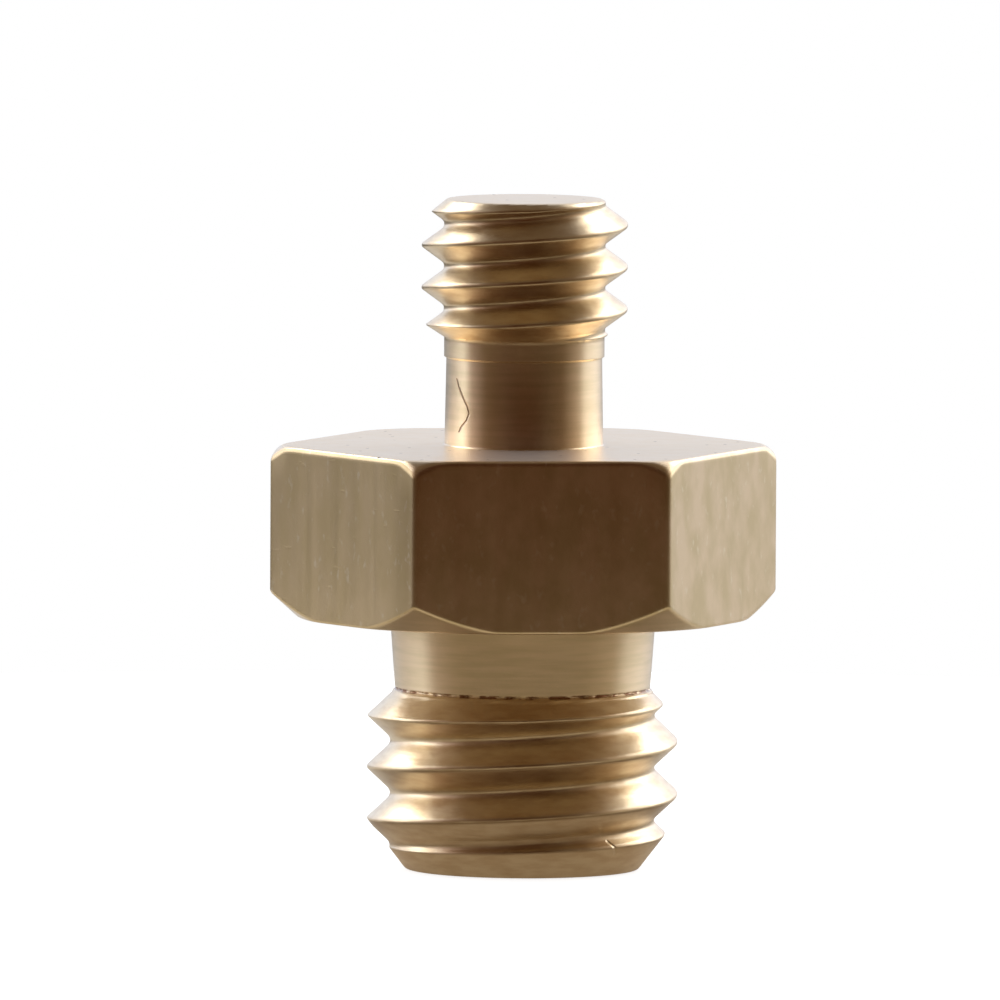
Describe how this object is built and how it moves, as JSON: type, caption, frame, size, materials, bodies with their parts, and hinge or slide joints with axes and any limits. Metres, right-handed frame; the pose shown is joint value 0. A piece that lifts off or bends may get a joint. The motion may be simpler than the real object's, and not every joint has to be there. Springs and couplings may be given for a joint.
{
  "type": "tripod thread adapter",
  "caption": "Double-ended male thread adapter turned from brass, with a small and a large camera thread on one axis, plain necks and a hexagon between them for a spanner.",
  "frame": {"origin": "centre of the large thread's flat end face, on which the adapter stands", "axes": "+Z along the axis, from the large thread to the small one; two of the hexagon's flats face -Y and +Y"},
  "size_m": [0.0154, 0.0134, 0.0202],
  "materials": {
    "brass": "turned and milled, bare"
  },
  "bodies": {
    "root": {"adapter": "brass"}
  },
  "joints": []
}
